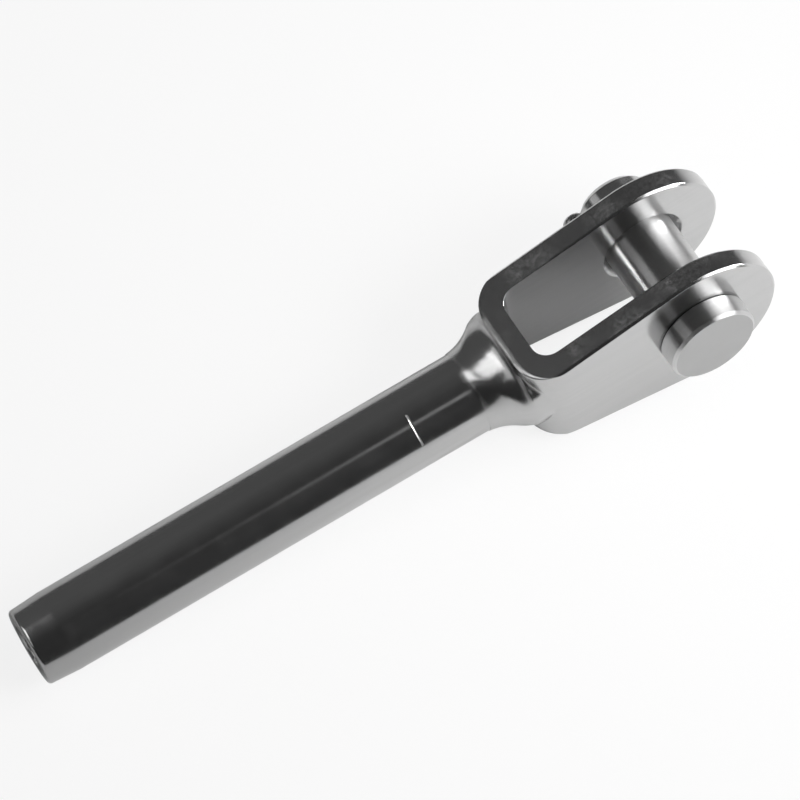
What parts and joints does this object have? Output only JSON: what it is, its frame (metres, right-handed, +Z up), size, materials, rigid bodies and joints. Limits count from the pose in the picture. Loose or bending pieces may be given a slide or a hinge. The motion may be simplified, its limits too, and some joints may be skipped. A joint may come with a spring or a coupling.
{
  "type": "swage fork terminal",
  "caption": "Polished swage fork terminal: a tube with a blind wire bore runs into a U fork whose two ears carry a headed clevis pin held by a split pin.",
  "frame": {"origin": "middle of the jaw, where the tube's axis meets the clevis pin's axis", "axes": "+X along the tube towards the open end of the jaw, +Y along the clevis pin towards its tail, +Z up, across the flat of the fork"},
  "size_m": [0.1194, 0.0297, 0.0252],
  "materials": {
    "terminal_steel": "mirror-polished stainless steel",
    "pin_steel": "mirror-polished stainless steel",
    "split_pin_steel": "drawn stainless steel wire"
  },
  "bodies": {
    "terminal": {"fork_terminal": "terminal_steel"},
    "pin": {"clevis_pin": "pin_steel", "split_pin": "split_pin_steel"}
  },
  "joints": [
    {"name": "pin_spin", "type": "hinge", "parent": "terminal", "child": "pin", "pos_m": [0, 0, 0], "axis": [0, 1, 0], "continuous": true}
  ]
}
